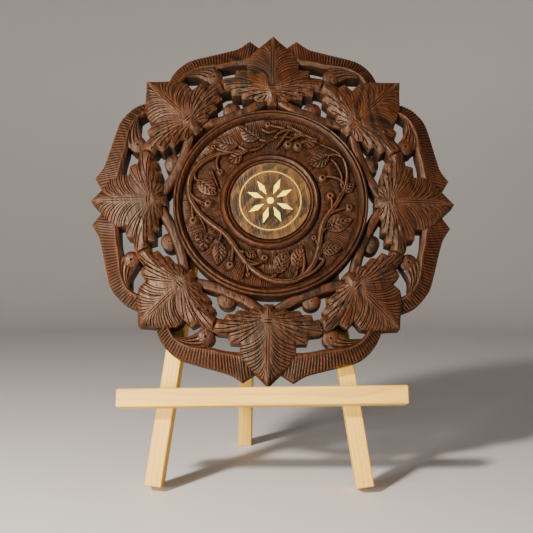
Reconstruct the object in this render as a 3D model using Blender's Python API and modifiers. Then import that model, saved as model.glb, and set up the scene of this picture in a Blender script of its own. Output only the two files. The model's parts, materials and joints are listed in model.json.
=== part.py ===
"""Round carved wall plaque with a brass inlay, standing on a small pine display easel.

Sizes are millimetres. The board's own frame has u to the right, v up along the board and w
out of its flat back, with the origin at the back of the disc's centre.
"""

from math import cos, hypot, pi, radians, sin

import bmesh
import bpy
import numpy as np
from mathutils import Matrix, Vector
from mathutils.geometry import delaunay_2d_cdt

MM = 0.001
LEAN = radians(13.8)
ROLL = radians(-0.65)  # the plaque stands slightly turned on its ledge
GAP = 0.3  # between pieces that touch
SUNK = 3.0  # carved forms start this far under the board's back, and one cut levels them

LEAVES = 8
STEP = 2 * pi / LEAVES
TIP_R = 152.5
# How much further out each leaf's tip was left, from the right-hand leaf round.
TIP_SHIFT = [0, 2.5, 1, 2, -1.8, -3.5, 0, -3.5]
# Half of a leaf: distance from the board's centre, then from the leaf's own axis.
LEAF_EDGE = [
    (TIP_R, 0), (147, 5.2), (141.5, 11), (135.5, 17.6), (127, 22.6), (119, 22.2), (118.6, 31),
    (112.3, 32.8), (111.3, 41.2), (108.8, 46), (98.4, 41.6), (99.6, 36), (94.8, 34.4), (95.2, 27),
    (91.6, 25.2), (92.2, 16), (89.5, 12.5), (90, 5), (86.5, 3.8),
]
SHOULDER_R = 127.0
MIDRIB = [(98, 0), (114, 0), (131, 0), (146, 0)]
VEINS = [
    [(102, 3), (107, 10), (109.5, 23), (108, 38)],
    [(109, 3), (115.5, 7.5), (120, 17)],
    [(120, 2.6), (127, 5.5), (133.5, 11.5)],
]
VEIN_HALF, VEIN_DEEP, VEIN_FADE = 0.9, 1.0, 0.4
LEAF_MIDS = [(136, 12), (126, 18), (113, 27), (101.5, 37), (96.5, 22), (94, 8)]
# Its face is highest at LEAF_HIGH and falls outwards from FALL_OUT, inwards from FALL_IN.
LEAF_HIGH, FALL_OUT, FALL_IN, LOBE_END = 23.8, 106.0, 97.0, 45.0
TIP_DROP, LOBE_DROP, BASE_DROP, SWELL, SWELL_END = 5.0, 1.7, 1.6, 0.7, 22.0
EDGE_EASE, EDGE_REACH = 1.5, 3.2
CORNER_LIFT = 0.6  # every second leaf stands this much prouder

# One bay of the border, from a leaf on an axis to the next leaf: along the axis, then across.
BORDER_OUT = [
    (137, 3), (142.5, 11), (148.6, 20.5), (142.6, 30.5), (138.6, 44), (135, 58),
    (130.8, 72), (125, 80.5), (118, 86.5), (109, 90.5), (101, 92.5),
]
BORDER_IN = [
    (125.5, 4), (125.5, 12), (125.5, 22), (124.3, 35), (122.2, 44), (121.4, 52),
    (120.4, 60), (117.5, 68), (113.5, 74.5), (107, 79), (99, 82),
]
BORDER_LOW, FLUTE_RISE, OGEE_RISE, BORDER_RIDGE, BORDER_INNER = 13.4, 1.5, 2.2, 19.2, 15.8
FLUTE_SLANT = 1.5  # in points of the outline
OGEE_POINT, OGEE_SPREAD = 6, 4  # the raised shoulder where the bay turns, in points too
CREST_WAVE = 0.4
# The curl inside each bay, and the knob with a drilled eye that it ends in.
CURL = [
    (113.2, 77), (113.6, 71), (114.4, 64.5), (112.8, 57.5), (109.6, 51.5), (116, 47.5),
    (123, 50), (122.4, 60), (119.6, 68.5), (114.8, 76.5),
]
CURL_HIGH = 15.2
KNOB_AT, KNOB_R, KNOB_WALL, KNOB_TOP, KNOB_EYE = (113.3, 50.3), 6.9, 17.0, 20.4, 1.5

STEM_R, STEM_FLARE, STEM_SPAN, STEM_END = 83.8, 6.0, radians(16.4), radians(19.5)
STEM_W, STEM_SIDE, STEM_TOP = 6.4, 12.8, 15.4
BUD_AT, BUD_R, BUD_WALL, BUD_TOP, BUD_EYE = 91.0, 6.8, 13.0, 17.2, 1.1
EYE_DEEP = 1.6

# The disc's turned face, from the middle out: radius, height over the back.
GROUND = 20.8
DISC = [
    (0, 23.2), (33, 23.2), (33.5, 21.8), (34.4, 22.6), (35.3, 23.2), (35.9, 22.4), (36.7, 23.9),
    (38.4, 24.8), (40.2, 23.6), (41.8, GROUND), (72.9, GROUND), (74.6, 23.2), (76.6, 25),
    (77.8, 24.2), (78.3, 23.1), (79.4, 23.9), (80.6, 23), (81, 21.2), (81, -SUNK), (0, -SUNK),
]
DISC_STEPS = 42
# The floral band is given round the disc: degrees from the right, then radius. A vine waves
# between these crests and troughs.
VINE = [
    (88, 54), (105, 47), (164, 69.5), (222, 46.5), (287, 70), (337, 47.8), (394, 71), (412, 65),
]
VINE_HALF, VINE_STEP = 1.9, 6.0
# A leaf is its middle, half length, half width, and how far its tip turns from straight outwards.
BAND_LEAVES = [
    (107, 63, 9.6, 5.4, 39), (126, 63, 9, 5.2, 42), (128.5, 48.5, 6.5, 3.8, 80),
    (168.5, 54.5, 9.8, 5.2, 153), (227, 61.5, 9.5, 4.4, 43), (252, 48.5, 5, 2.6, 80),
    (282, 53.5, 10, 4.8, 143), (297, 54, 10, 4.4, 142), (320.5, 64.5, 8, 4.6, 45),
    (341, 60, 10.5, 5.6, 39), (10, 66, 5.5, 3.2, 28), (42.5, 54, 9.2, 4.6, 159),
    (57, 61.5, 6, 3.6, -28),
]
BAND_LEAF_SHAPE = [(-1, 0), (-0.6, 0.65), (-0.1, 1), (0.5, 0.75), (1, 0)]
# A berry is its middle and radius.
BERRIES = [
    (92.5, 67.8, 3), (136, 67.5, 2.6), (149.5, 49, 3.1), (183, 51.5, 4), (195.5, 65.5, 4.3),
    (240, 63.5, 3.6), (254.8, 65, 2.2), (265.5, 49, 3.3), (301.5, 50, 2.6), (319, 48, 2.6),
    (355.5, 65.5, 3.6), (5.5, 49.8, 3.6), (25.5, 48, 3.9), (65, 53.5, 4), (74, 52, 3.7),
    (70, 63, 2.2), (86, 57, 1.6), (77.5, 68, 1.6),
]
BLOOM_AT, BLOOM_REACH, BLOOM_LONG, BLOOM_WIDE = (212, 64), 3.6, 3.8, 2.9
# A sprig is the half width of its ridge and the line that it follows.
SPRIGS = [
    (1.5, [(75, 69), (77.5, 61), (81, 53), (85, 46)]),
    (1.2, [(84, 64), (87.5, 61.3), (92, 60.2), (96, 62.3), (98, 66)]),
    (0.9, [(150, 58), (156, 52), (162, 47), (166, 44.5)]),
    (0.8, [(176, 66.5), (180, 62), (184, 57), (186.5, 53)]),
    (1.0, [(192, 60.5), (200, 58.5), (208, 59)]),
    (0.8, [(249, 55), (251, 62), (252, 70)]),
    (0.9, [(247, 53), (256, 54), (263, 53.2), (267, 50)]),
    (1.6, [(287, 70), (300, 70), (311, 67), (309, 61), (315, 57), (320, 54)]),
    (1.2, [(8, 62), (14, 60.5), (20, 62.8), (30, 63.2), (38, 62)]),
    (0.8, [(84, 56), (78, 57.5), (71, 58.5)]),
]
RELIEF_WALL, RELIEF_TOP, RIDGE_TOP, RELIEF_FOOT = 1.1, 1.9, 2.2, -1.5  # over the band's ground
BERRY_WALL = 0.7

# Brass kites, at these degrees clockwise from the top, as the hand set them.
PETAL_AT = [23, 61, 112, 153, 196, 240, 290, 327]
PETAL_IN, PETAL_OUT, PETAL_HALF = 5.8, 20.3, 2.35
RING_R, RING_W, RING_STEPS = 25.4, 1.0, 36
DOT_R, DOT_STEPS = 2.8, 16
INLAY_LOW, INLAY_HIGH, POCKET_LOW = 21.32, 23.25, 21.2
INLAY_GAP, SHARP = 0.15, 3.3  # the pocket's gap, and how many times it a kite's sharp ends need
CUT_HIGH, CUT_BEHIND, CUT_REACH = 30.0, 20.0, 200.0

# Easel slats. The front legs and bars lie in the board's frame, the rear leg stands behind it.
EASE = 0.7
LEG_W, LEG_D, LEG_FOOT_V, LEG_TOP_V = 13.4, 20.8, -229.5, 62.0
LEG_FOOT_U, LEG_SPLAY = {"left": -92.7, "right": 75.9}, {"left": 0.128, "right": -0.149}
LEDGE_LONG, LEDGE_H, LEDGE_D, LEDGE_MID_U, LEDGE_RISE, REST_U = 230.0, 14.4, 20.4, -6.0, 0.016, -1.7
CROSS_V, CROSS_H, CROSS_D = 47.0, 14.0, 12.6
REAR_W, REAR_D = 13.0, 20.0
REAR_FOOT, REAR_TOP = (-28.3, 126.5, -228.58), (-18.3, 45.4, 50.2)

WOOD = ("dark_carved_wood", (0.17, 0.075, 0.038), 0.42, 0.0)
BRASS = ("inlay_brass", (0.86, 0.72, 0.38), 0.25, 1.0)
PINE = ("pale_easel_wood", (0.82, 0.6, 0.3), 0.6, 0.0)


def smooth(points, n):
    """Catmull-Rom line through the points, n steps to each span."""
    p = np.array(points, float)
    p = np.vstack([2 * p[0] - p[1], p, 2 * p[-1] - p[-2]])
    t = np.arange(n)[:, None] / n
    out = []
    for i in range(1, len(p) - 2):
        a, b, c, d = p[i - 1 : i + 3]
        bend = (2 * a - 5 * b + 4 * c - d) * t**2 + (3 * b - a - 3 * c + d) * t**3
        out.append(b + 0.5 * ((c - a) * t + bend))
    return np.vstack(out + [p[-2][None]])


def between_points(points, places):
    """The points of a line at these places, which count its own points from 0."""
    count = np.arange(len(points))
    return np.c_[np.interp(places, count, points[:, 0]), np.interp(places, count, points[:, 1])]


def edge_distance(x, y, outline):
    """Distance from a point to the nearest side of a closed outline."""
    best = 1e9
    for (ax, ay), (bx, by) in zip(outline, np.roll(outline, -1, axis=0)):
        dx, dy = bx - ax, by - ay
        t = min(max(((x - ax) * dx + (y - ay) * dy) / (dx * dx + dy * dy), 0), 1)
        best = min(best, hypot(x - ax - t * dx, y - ay - t * dy))
    return best


def add(name, mesh, collection):
    """A new object from a mesh in millimetres."""
    mesh.transform(Matrix.Scale(MM, 4))
    obj = bpy.data.objects.new(name, mesh)
    collection.objects.link(obj)
    return obj


def mesh_from(name, bm):
    """Closes a bmesh into a mesh whose faces point outwards."""
    bmesh.ops.remove_doubles(bm, verts=bm.verts, dist=1e-4)
    bmesh.ops.recalc_face_normals(bm, faces=bm.faces)
    if bm.calc_volume(signed=True) < 0:
        bmesh.ops.reverse_faces(bm, faces=bm.faces)
    mesh = bpy.data.meshes.new(name)
    bm.to_mesh(mesh)
    bm.free()
    return mesh


def evaluated_mesh(name, obj):
    """The mesh that an object's curve or modifiers make, welded. The object goes."""
    bpy.context.scene.collection.objects.link(obj)
    bpy.context.view_layer.update()
    bm = bmesh.new()
    made = bpy.data.meshes.new_from_object(obj.evaluated_get(bpy.context.evaluated_depsgraph_get()))
    bm.from_mesh(made)
    bpy.data.objects.remove(obj)
    return mesh_from(name, bm)


def relief(name, outline, lines=(), points=()):
    """A flat-bottomed solid with this outline. Every point is (x, y, height), and lines stay as edges."""
    inputs, edges = list(outline), []
    for line in lines:
        edges += [(i, i + 1) for i in range(len(inputs), len(inputs) + len(line) - 1)]
        inputs += list(line)
    inputs += list(points)
    flat = [Vector(p[:2]) for p in inputs]
    border = list(range(len(outline)))
    verts, _, faces, origins, _, _ = delaunay_2d_cdt(flat, edges, [border], 1, 1e-4)
    bm = bmesh.new()
    top = [bm.verts.new((v.x, v.y, inputs[o[0]][2])) for v, o in zip(verts, origins)]
    for face in faces:
        bm.faces.new([top[i] for i in face])
    rim = [e for e in bm.edges if len(e.link_faces) == 1]
    walls = bmesh.ops.extrude_edge_only(bm, edges=rim)["geom"]
    for vert in (g for g in walls if isinstance(g, bmesh.types.BMVert)):
        vert.co.z = -SUNK
    open_edges = [e for e in bm.edges if len(e.link_faces) == 1]
    bmesh.ops.edgeloop_fill(bm, edges=open_edges)
    return mesh_from(name, bm)


def turned_solid(name, profile, steps):
    """A profile of (radius, height) turned about the upright axis."""
    mesh = bpy.data.meshes.new(name)
    mesh.from_pydata([(r, 0, z) for r, z in profile], [(i, i + 1) for i in range(len(profile) - 1)], [])
    obj = bpy.data.objects.new(name, mesh)
    screw = obj.modifiers.new("turn", "SCREW")
    screw.steps = screw.render_steps = steps
    screw.use_merge_vertices = True
    screw.merge_threshold = 1e-5
    return evaluated_mesh(name, obj)


def poly_spline(curve, points, closed=False):
    spline = curve.splines.new("POLY")
    spline.points.add(len(points) - 1)
    for point, (x, y) in zip(spline.points, points):
        point.co = (x, y, 0, 1)
    spline.use_cyclic_u = closed
    return spline


def plate(name, outline, low, high):
    """A flat outline with thickness."""
    curve = bpy.data.curves.new(name, "CURVE")
    curve.dimensions = "2D"
    curve.fill_mode = "BOTH"
    curve.extrude = (high - low) / 2
    poly_spline(curve, outline, closed=True)
    mesh = evaluated_mesh(name, bpy.data.objects.new(name, curve))
    mesh.transform(Matrix.Translation((0, 0, (low + high) / 2)))
    return mesh


def rail(name, line, section, radii=None):
    """A section of (across, height) drawn along a flat line, scaled at each point by its radius."""
    shape = bpy.data.curves.new(name + "_section", "CURVE")
    poly_spline(shape, section, closed=True)
    section_object = bpy.data.objects.new(name + "_section", shape)
    curve = bpy.data.curves.new(name, "CURVE")
    curve.dimensions = "3D"
    curve.twist_mode = "Z_UP"
    curve.bevel_mode = "OBJECT"
    curve.bevel_object = section_object
    curve.use_fill_caps = True
    spline = poly_spline(curve, line)
    if radii is not None:
        spline.points.foreach_set("radius", radii)
    mesh = evaluated_mesh(name, bpy.data.objects.new(name, curve))
    bpy.data.objects.remove(section_object)
    return mesh


def rotated(mesh, angle, flip=False):
    """Turns a mesh about the board's centre, mirrored first where flip is set."""
    if flip:
        mesh.transform(Matrix.Scale(-1, 4, (0, 1, 0)))
        mesh.flip_normals()
    mesh.transform(Matrix.Rotation(angle, 4, "Z"))
    return mesh


def leaf_face(x, y, outline, lift):
    """Height of a leaf: high where its veins meet, falling to tip, lobes and base, with eased edges."""
    h = LEAF_HIGH + lift
    h -= TIP_DROP * max(0, (x - FALL_OUT) / (TIP_R - FALL_OUT)) ** 1.4
    h -= LOBE_DROP * (y / LOBE_END) ** 2
    h -= BASE_DROP * max(0, (FALL_IN - x) / (FALL_IN - LEAF_EDGE[-1][0]))
    h += SWELL * sin(min(abs(y) / SWELL_END, 1) * pi)
    return h - EDGE_EASE * (1 - min(edge_distance(x, y, outline) / EDGE_REACH, 1)) ** 1.5


def make_leaf(lift, tip_shift):
    half = np.array(LEAF_EDGE, float)
    half[:, 0] += tip_shift * np.clip((half[:, 0] - SHOULDER_R) / (TIP_R - SHOULDER_R), 0, 1)
    outline = np.vstack([half, (half * (1, -1))[:0:-1]])

    def at(x, y, cut=0.0):
        return (x, y, leaf_face(x, y, outline, lift) - cut)

    lines = []
    for run in [MIDRIB] + [[(x, s * y) for x, y in vein] for vein in VEINS for s in (1, -1)]:
        run = np.array(run, float)
        along = np.gradient(run, axis=0)
        side = np.c_[-along[:, 1], along[:, 0]] / np.hypot(*along.T)[:, None]
        fade = np.linspace(1, VEIN_FADE, len(run))
        wide = side * VEIN_HALF * fade[:, None]
        lines.append([at(*p) for p in run + wide])
        lines.append([at(*p, VEIN_DEEP * f) for p, f in zip(run, fade)])
        lines.append([at(*p) for p in run - wide])
    mids = [at(x, s * y) for x, y in LEAF_MIDS for s in (1, -1)]
    return relief("leaf", [at(*p) for p in outline], lines, mids)


def make_bay():
    """One bay of the border: a roof section whose outer slope is cut with slanted flutes."""
    out, inn = smooth(BORDER_OUT, 3), np.array(BORDER_IN, float)
    count = np.arange(len(out))
    match = np.linspace(0, len(inn) - 1, len(out))
    crest = (out + between_points(inn, match)) / 2
    crest = between_points(crest, np.clip(count + FLUTE_SLANT, 0, count[-1]))
    shoulder = np.clip(1 - abs(count - OGEE_POINT) / OGEE_SPREAD, 0, 1)
    low = BORDER_LOW + FLUTE_RISE * (count % 2) + OGEE_RISE * shoulder
    out = [(x, y, z) for (x, y), z in zip(out, low)]
    crest = [(x, y, BORDER_RIDGE + CREST_WAVE * (i % 2)) for i, (x, y) in enumerate(crest)]
    inn = [(x, y, BORDER_INNER) for x, y in inn]
    flutes = [[a, b] for a, b in zip(out, crest)]
    return relief("bay", out + [crest[-1]] + inn[::-1] + [crest[0]], [crest] + flutes)


def knob(x, y, radius, low, wall, top, eye, steps=8):
    """A round carved knob, with a drilled dot where eye is set."""
    profile = [(0, top), (radius * 0.3, top)]
    if eye:
        profile = [(0, top - EYE_DEEP), (eye * 0.6, top - EYE_DEEP), (eye, top)]
    profile += [(radius * 0.66, wall + (top - wall) * 0.85), (radius, wall), (radius, low), (0, low)]
    mesh = turned_solid("knob", profile, steps)
    mesh.transform(Matrix.Translation((x, y, 0)))
    return mesh


def make_stem():
    """One arch of the stem ring, on the axis between two leaves."""
    bend = np.linspace(-STEM_END, STEM_END, 7)
    r = STEM_R + STEM_FLARE * abs(bend / STEM_SPAN) ** 2.4
    half = STEM_W / 2
    section = [(-half, -SUNK), (-half, STEM_SIDE), (0, STEM_TOP), (half, STEM_SIDE), (half, -SUNK)]
    return rail("stem", np.c_[r * np.cos(bend), r * np.sin(bend)], section)


def round_disc(degrees, radius):
    a = radians(degrees)
    return radius * cos(a), radius * sin(a)


def make_band_leaf(x, y, long, wide, turn):
    """A small pointed leaf of the floral band, with a sunk midrib. turn is its tip's way in radians."""
    half = [(long * a, wide * b) for a, b in BAND_LEAF_SHAPE]
    outline = [(a, b, RELIEF_WALL) for a, b in half + [(a, -b) for a, b in half[-2:0:-1]]]
    rib = [(long * a, 0, RELIEF_WALL) for a in (-0.75, 0, 0.7)]
    mids = [(long * a, s * wide * 0.5, RELIEF_TOP) for a in (-0.35, 0.35) for s in (1, -1)]
    mesh = relief("band_leaf", outline, [rib], mids)
    for vert in mesh.vertices:
        vert.co.z = GROUND + (vert.co.z if vert.co.z > 0 else RELIEF_FOOT)
    mesh.transform(Matrix.Translation((x, y, 0)) @ Matrix.Rotation(turn, 4, "Z"))
    return mesh


def make_ridge(half, run):
    """A raised ridge of the floral band that tapers at both ends."""
    t = np.linspace(0, 1, len(run))
    radii = 0.3 + 0.7 * np.minimum(1, 5 * np.minimum(t, 1 - t))
    section = [(-1.1 * half, RELIEF_FOOT), (0, RIDGE_TOP), (1.1 * half, RELIEF_FOOT)]
    mesh = rail("ridge", run, section, radii)
    mesh.transform(Matrix.Translation((0, 0, GROUND)))
    return mesh


def vine_line():
    """The vine's line: a smooth wave from each crest to the next trough."""
    run = []
    for (a, r), (b, s) in zip(VINE, VINE[1:]):
        steps = max(2, round((b - a) / VINE_STEP))
        for i in range(steps):
            t = i / steps
            run.append(round_disc(a + (b - a) * t, r + (s - r) * (1 - cos(pi * t)) / 2))
    return run + [round_disc(*VINE[-1])]


def kite(grow=0.0):
    """Outline of a brass petal that points up, or of its pocket."""
    middle = (PETAL_IN + PETAL_OUT) / 2
    tip = grow * SHARP
    wide = PETAL_HALF + grow
    return [(0, PETAL_IN - tip), (wide, middle), (0, PETAL_OUT + tip), (-wide, middle)]


def ring_profile(grow, low, high):
    inner, outer = RING_R - RING_W / 2 - grow, RING_R + RING_W / 2 + grow
    return [(outer, high), (outer, low), (inner, low), (inner, high), (outer, high)]


def circle(radius, steps):
    return [(radius * cos(2 * pi * i / steps), radius * sin(2 * pi * i / steps)) for i in range(steps)]


def carved_forms():
    """Every form that stands out of the disc, each a closed mesh in the board's frame."""
    for k in range(LEAVES):
        axis, between = k * STEP, (k + 0.5) * STEP
        yield rotated(make_leaf(CORNER_LIFT * (k % 2), TIP_SHIFT[k]), axis)
        yield rotated(make_stem(), between)
        yield rotated(knob(BUD_AT, 0, BUD_R, -SUNK, BUD_WALL, BUD_TOP, BUD_EYE), between)
    for side in range(4):
        for flip in (False, True):
            turn = side * pi / 2
            yield rotated(make_bay(), turn, flip)
            yield rotated(relief("curl", [(x, y, CURL_HIGH) for x, y in CURL]), turn, flip)
            yield rotated(knob(*KNOB_AT, KNOB_R, -SUNK, KNOB_WALL, KNOB_TOP, KNOB_EYE), turn, flip)
    for degrees, radius, long, wide, turn in BAND_LEAVES:
        x, y = round_disc(degrees, radius)
        yield make_band_leaf(x, y, long, wide, radians(degrees + turn))
    for k in range(4):
        a = pi / 4 + k * pi / 2
        x, y = round_disc(*BLOOM_AT)
        x, y = x + BLOOM_REACH * cos(a), y + BLOOM_REACH * sin(a)
        yield make_band_leaf(x, y, BLOOM_LONG, BLOOM_WIDE, a)
    for degrees, radius, size in BERRIES:
        x, y = round_disc(degrees, radius)
        yield knob(x, y, size, GROUND + RELIEF_FOOT, GROUND + BERRY_WALL, GROUND + RIDGE_TOP, 0, 6)
    yield make_ridge(VINE_HALF, vine_line())
    for half, line in SPRIGS:
        yield make_ridge(half, smooth([round_disc(*p) for p in line], 2))


def cutting_forms():
    """What is taken away: everything behind the back, and the inlay's pockets."""
    square = [(CUT_REACH * x, CUT_REACH * y) for x, y in ((-1, -1), (1, -1), (1, 1), (-1, 1))]
    yield plate("back", square, -CUT_BEHIND, 0)
    for degrees in PETAL_AT:
        yield rotated(plate("pocket", kite(INLAY_GAP), POCKET_LOW, CUT_HIGH), radians(-degrees))
    yield turned_solid("pocket", ring_profile(INLAY_GAP, POCKET_LOW, CUT_HIGH), RING_STEPS)
    yield plate("pocket", circle(DOT_R + INLAY_GAP, DOT_STEPS), POCKET_LOW, CUT_HIGH)


def boolean(obj, operation, meshes):
    helpers = bpy.data.collections["helpers"]
    tools = bpy.data.collections.new(f"{obj.name}_{operation.lower()}")
    helpers.children.link(tools)
    for i, mesh in enumerate(meshes):
        tool = add(f"{operation.lower()}_{mesh.name}_{i}", mesh, tools)
        tool.hide_render = True
        tool.display_type = "WIRE"
        tool.parent = obj
    modifier = obj.modifiers.new(operation.lower(), "BOOLEAN")
    modifier.operation, modifier.solver = operation, "EXACT"
    modifier.operand_type, modifier.collection = "COLLECTION", tools
    modifier.use_self = True


def finish(obj, material, parent):
    name, colour, roughness, metallic = material
    found = bpy.data.materials.get(name)
    if not found:
        found = bpy.data.materials.new(name)
        found.use_nodes = True
        shader = found.node_tree.nodes["Principled BSDF"]
        shader.inputs["Base Color"].default_value = (*colour, 1)
        shader.inputs["Roughness"].default_value = roughness
        shader.inputs["Metallic"].default_value = metallic
    obj.data.materials.append(found)
    obj.parent = parent


def empty(name, parent=None):
    obj = bpy.data.objects.new(name, None)
    bpy.context.scene.collection.objects.link(obj)
    obj.parent = parent
    return obj


def make_plaque(parts, board):
    plaque = add("carved_plaque", turned_solid("disc", DISC, DISC_STEPS), parts)
    boolean(plaque, "UNION", carved_forms())
    boolean(plaque, "DIFFERENCE", cutting_forms())
    finish(plaque, WOOD, board)


def make_inlay(parts, board):
    for i, degrees in enumerate(PETAL_AT):
        petal = add(f"brass_petal_{i + 1}", plate("petal", kite(), INLAY_LOW, INLAY_HIGH), parts)
        petal.rotation_euler.z = radians(-degrees)
        finish(petal, BRASS, board)
    dot = plate("dot", circle(DOT_R, DOT_STEPS), INLAY_LOW, INLAY_HIGH)
    finish(add("brass_centre_dot", dot, parts), BRASS, board)
    ring = turned_solid("ring", ring_profile(0, INLAY_LOW, INLAY_HIGH), RING_STEPS)
    finish(add("brass_ring", ring, parts), BRASS, board)


def make_slat(name, start, end, size, front, parts, parent):
    """A slat cut square, whose front face looks along front and has start and end on its middle line."""
    start, end, front = Vector(start), Vector(end), Vector(front)
    along = (end - start).normalized()
    out = (front - along * front.dot(along)).normalized()
    side = along.cross(out)
    wide, deep = size
    bm = bmesh.new()
    bmesh.ops.create_cube(bm, size=1)
    bmesh.ops.scale(bm, vec=(wide, deep, (end - start).length), verts=bm.verts)
    mesh = bpy.data.meshes.new(name)
    bm.to_mesh(mesh)
    bm.free()
    slat = add(name, mesh, parts)
    slat.location = ((start + end) / 2 - out * deep / 2) * MM
    slat.rotation_euler = Matrix((side, -out, along)).transposed().to_euler()
    bevel = slat.modifiers.new("eased edges", "BEVEL")
    bevel.width = EASE * MM
    bevel.segments = 1
    finish(slat, PINE, parent)


def make_easel(parts, leaning, upright):
    run = LEG_TOP_V - LEG_FOOT_V
    ends = {}
    for side in ("left", "right"):
        foot, splay = LEG_FOOT_U[side], LEG_SPLAY[side]
        start, end = (foot, LEG_FOOT_V, -GAP), (foot + splay * run, LEG_TOP_V, -GAP)
        make_slat(f"easel_{side}_leg", start, end, (LEG_W, LEG_D), (0, 0, 1), parts, leaning)
        ends[side] = foot + splay * (CROSS_V - LEG_FOOT_V)
    middle_v = -TIP_R - GAP - LEDGE_H / 2
    ledge = [(LEDGE_MID_U + s * LEDGE_LONG / 2, 0.0, LEDGE_D) for s in (-1, 1)]
    ledge = [(u, middle_v + LEDGE_RISE * (u - REST_U), w) for u, _, w in ledge]
    make_slat("easel_ledge_bar", *ledge, (LEDGE_H, LEDGE_D), (0, 0, 1), parts, leaning)
    w = -2 * GAP - LEG_D
    cross = [(ends["left"] - LEG_W / 2, CROSS_V, w), (ends["right"] + LEG_W / 2, CROSS_V, w)]
    make_slat("easel_top_cross_bar", *cross, (CROSS_H, CROSS_D), (0, 0, 1), parts, leaning)
    make_slat("easel_rear_leg", REAR_FOOT, REAR_TOP, (REAR_W, REAR_D), (0, -1, 0), parts, upright)


def stand_on_floor(upright, parts):
    """Moves the whole object so that the middle of its box's underside is the origin."""
    bpy.context.view_layer.update()
    graph = bpy.context.evaluated_depsgraph_get()
    points = []
    for obj in parts.objects:
        shown = obj.evaluated_get(graph)
        points += [shown.matrix_world @ v.co for v in shown.data.vertices]
    points = np.array(points)
    low, high = points.min(axis=0), points.max(axis=0)
    upright.location = (-(low[0] + high[0]) / 2, -(low[1] + high[1]) / 2, -low[2])


def main():
    for obj in list(bpy.data.objects):
        bpy.data.objects.remove(obj)
    for name in ("carved wall plaque", "helpers"):
        bpy.context.scene.collection.children.link(bpy.data.collections.new(name))
    parts = bpy.data.collections["carved wall plaque"]
    upright = empty("upright_frame")
    leaning = empty("leaning_frame", upright)
    leaning.rotation_euler.x = pi / 2 - LEAN
    board = empty("board_frame", leaning)
    board.rotation_euler.z = ROLL
    make_plaque(parts, board)
    make_inlay(parts, board)
    make_easel(parts, leaning, upright)
    stand_on_floor(upright, parts)


main()
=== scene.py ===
"""Round pierced wood carving with a brass inlay on its small pine easel: the finish of every surface."""

import json
from math import cos, hypot, pi, radians, sin

import bmesh
import bpy
import numpy as np
from mathutils import Matrix, Vector, noise
from mathutils.geometry import delaunay_2d_cdt

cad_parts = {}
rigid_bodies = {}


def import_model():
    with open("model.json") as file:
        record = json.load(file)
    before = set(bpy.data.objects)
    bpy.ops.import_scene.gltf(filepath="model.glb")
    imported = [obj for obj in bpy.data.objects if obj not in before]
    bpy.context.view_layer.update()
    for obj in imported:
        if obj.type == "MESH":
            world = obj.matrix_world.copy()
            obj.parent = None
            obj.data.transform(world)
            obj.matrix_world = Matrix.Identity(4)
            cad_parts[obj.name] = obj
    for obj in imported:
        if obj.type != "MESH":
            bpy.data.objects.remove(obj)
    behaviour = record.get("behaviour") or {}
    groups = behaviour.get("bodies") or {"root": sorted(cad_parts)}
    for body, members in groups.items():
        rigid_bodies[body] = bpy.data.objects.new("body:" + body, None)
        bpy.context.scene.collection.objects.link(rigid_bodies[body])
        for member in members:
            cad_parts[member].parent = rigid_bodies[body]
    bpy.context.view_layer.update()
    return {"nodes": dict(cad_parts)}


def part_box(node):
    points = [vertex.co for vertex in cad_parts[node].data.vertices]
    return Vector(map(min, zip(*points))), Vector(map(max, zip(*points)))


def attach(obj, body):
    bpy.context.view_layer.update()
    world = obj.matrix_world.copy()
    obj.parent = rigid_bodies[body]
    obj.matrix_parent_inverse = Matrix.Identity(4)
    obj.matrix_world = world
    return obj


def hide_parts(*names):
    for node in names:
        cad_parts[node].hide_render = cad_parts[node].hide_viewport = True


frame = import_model()

# The board's own frame, in millimetres: u right, v up along the board, w out of its flat back.
MM = 0.001
LEAN, ROLL = radians(13.8), radians(-0.65)
DOT_MIDDLE = 22.285  # the height over the back of the brass dot's middle, which places the board
TURN = Matrix.Rotation(pi / 2 - LEAN, 4, "X") @ Matrix.Rotation(ROLL, 4, "Z")
OUT = (TURN @ Vector((0, 0, 1))).normalized()
dot_low, dot_high = (Vector(c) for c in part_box("brass_centre_dot"))
ORIGIN = (dot_low + dot_high) / 2 - OUT * DOT_MIDDLE * MM
BOARD = Matrix.Translation(ORIGIN) @ TURN

LEAVES = 8
STEP = 2 * pi / LEAVES
SUNK = 3.0  # the board's forms run this far behind its back, which then is cut flat

# A leaf: half its outline from the tip to the base, and how much further out each of the eight tips is.
TIP_R, SHOULDER_R = 152.5, 127.0
TIP_SHIFT = [0, 2.5, 1, 2, -1.8, -3.5, 0, -3.5]
LEAF_EDGE = [
    (TIP_R, 0), (147, 5.2), (141.5, 11), (135.5, 17.6), (127, 22.6), (119, 22.2), (118.6, 31),
    (112.3, 32.8), (111.3, 41.2), (108.8, 46), (98.4, 41.6), (99.6, 36), (94.8, 34.4), (95.2, 27),
    (91.6, 25.2), (92.2, 16), (89.5, 12.5), (90, 5), (86.5, 3.8),
]
LEAF_NECK = 119.0  # beyond it the outline narrows to the tip
LOBE_EDGE = slice(5, 18)  # the outline's points round a side lobe
CORNER_LIFT = 0.5
LEAF_HIGH, CROWN, FALL_OUT, FALL_IN, LOBE_END = 24.5, 2.7, 108.0, 97.0, 45.0
TIP_DROP, LOBE_DROP, BASE_DROP = 4.4, 1.2, 1.4
EDGE_EASE, EDGE_REACH = 1.1, 2.2
GROOVE_HALF, GROOVE_DEEP = 0.45, 0.75
TIP_GROOVES, LOBE_GROOVES = 12, 15
VEIN_ENDS, VEIN_STARTS = (119.8, 125, 140), (106, 113, 128)
LOBE_VEIN_STARTS, MIDRIB_SIDE, BASE_CUTS = (104.4, 94.5), 0.95, (100.2, 102.4)
VEIN_MARGIN = 0.85
LEAF_MESH = 1.7

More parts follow.
